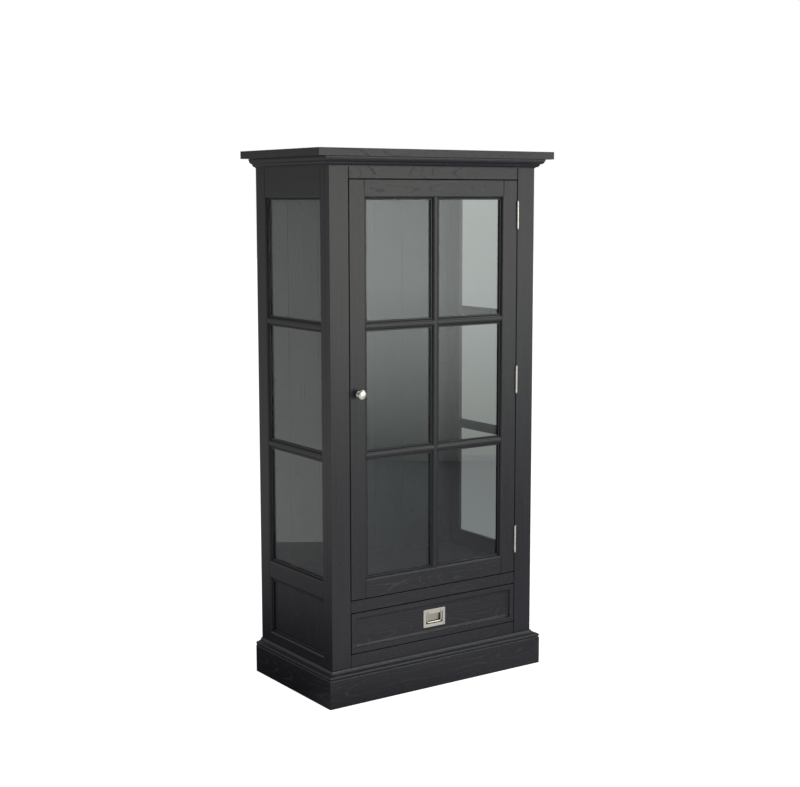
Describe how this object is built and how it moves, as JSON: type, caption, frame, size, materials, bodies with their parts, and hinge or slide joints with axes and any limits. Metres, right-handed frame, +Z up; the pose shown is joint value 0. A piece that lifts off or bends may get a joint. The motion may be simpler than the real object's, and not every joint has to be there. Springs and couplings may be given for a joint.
{
  "type": "glazed display cabinet",
  "caption": "Free-standing glazed display cabinet: framed glass door over a drawer, glazed sides, grooved back board, crown moulding and moulded plinth.",
  "frame": {"origin": "centre of the footprint of the whole cabinet, on the floor", "axes": "+Z up, the door and the drawer front look along -Y, +X to the right of someone facing them"},
  "size_m": [0.9, 0.48, 1.72],
  "materials": {
    "stained_oak": "black-stained oak under a satin lacquer, open grain",
    "stained_oak_back": "dark-stained oak boards with a V groove at every joint, matt",
    "float_glass": "clear float glass, 4 mm",
    "satin_nickel": "satin nickel plate",
    "catch_plastic": "brown moulded plastic"
  },
  "bodies": {
    "cabinet": {"back_panel": "stained_oak_back", "cabinet_floor": "stained_oak", "crown_front": "stained_oak", "crown_left": "stained_oak", "crown_right": "stained_oak", "drawer_runner_left": "stained_oak", "drawer_runner_right": "stained_oak", "face_rail_bottom": "stained_oak", "face_rail_middle": "stained_oak", "face_rail_top": "stained_oak", "face_stile_left": "stained_oak", "face_stile_right": "stained_oak", "hinge_lower_frame_leaf": "satin_nickel", "hinge_lower_pin": "satin_nickel", "hinge_middle_frame_leaf": "satin_nickel", "hinge_middle_pin": "satin_nickel", "hinge_upper_frame_leaf": "satin_nickel", "hinge_upper_pin": "satin_nickel", "magnetic_catch": "catch_plastic", "plinth_front": "stained_oak", "plinth_left": "stained_oak", "plinth_right": "stained_oak", "side_left_glass": "float_glass", "side_left_muntin_lower": "stained_oak", "side_left_muntin_upper": "stained_oak", "side_left_panel": "stained_oak", "side_left_rail_bottom": "stained_oak", "side_left_rail_middle": "stained_oak", "side_left_rail_top": "stained_oak", "side_left_stile_back": "stained_oak", "side_left_stile_front": "stained_oak", "side_right_glass": "float_glass", "side_right_muntin_lower": "stained_oak", "side_right_muntin_upper": "stained_oak", "side_right_panel": "stained_oak", "side_right_rail_bottom": "stained_oak", "side_right_rail_middle": "stained_oak", "side_right_rail_top": "stained_oak", "side_right_stile_back": "stained_oak", "side_right_stile_front": "stained_oak", "top_board": "stained_oak"},
    "door": {"door_glass": "float_glass", "door_knob": "satin_nickel", "door_muntin_lower": "stained_oak", "door_muntin_upper": "stained_oak", "door_muntin_vertical": "stained_oak", "door_rail_bottom": "stained_oak", "door_rail_top": "stained_oak", "door_stile_left": "stained_oak", "door_stile_right": "stained_oak", "hinge_lower_door_leaf": "satin_nickel", "hinge_middle_door_leaf": "satin_nickel", "hinge_upper_door_leaf": "satin_nickel"},
    "drawer": {"drawer_back": "stained_oak", "drawer_bottom": "stained_oak", "drawer_front": "stained_oak", "drawer_side_left": "stained_oak", "drawer_side_right": "stained_oak", "pull_plate": "satin_nickel"},
    "bail": {"pull_bail": "satin_nickel"}
  },
  "joints": [
    {"name": "door_swing", "type": "hinge", "parent": "cabinet", "child": "door", "pos_m": [0.325, -0.2085, 0.97775], "axis": [0, 0, 1], "range_deg": [0, 170]},
    {"name": "drawer_slide", "type": "slide", "parent": "cabinet", "child": "drawer", "axis": [0, -1, 0], "range_m": [0, 0.3]},
    {"name": "bail_lift", "type": "hinge", "parent": "drawer", "child": "bail", "pos_m": [0, -0.1964, 0.23913], "axis": [-1, 0, 0], "range_deg": [0, 90]}
  ]
}
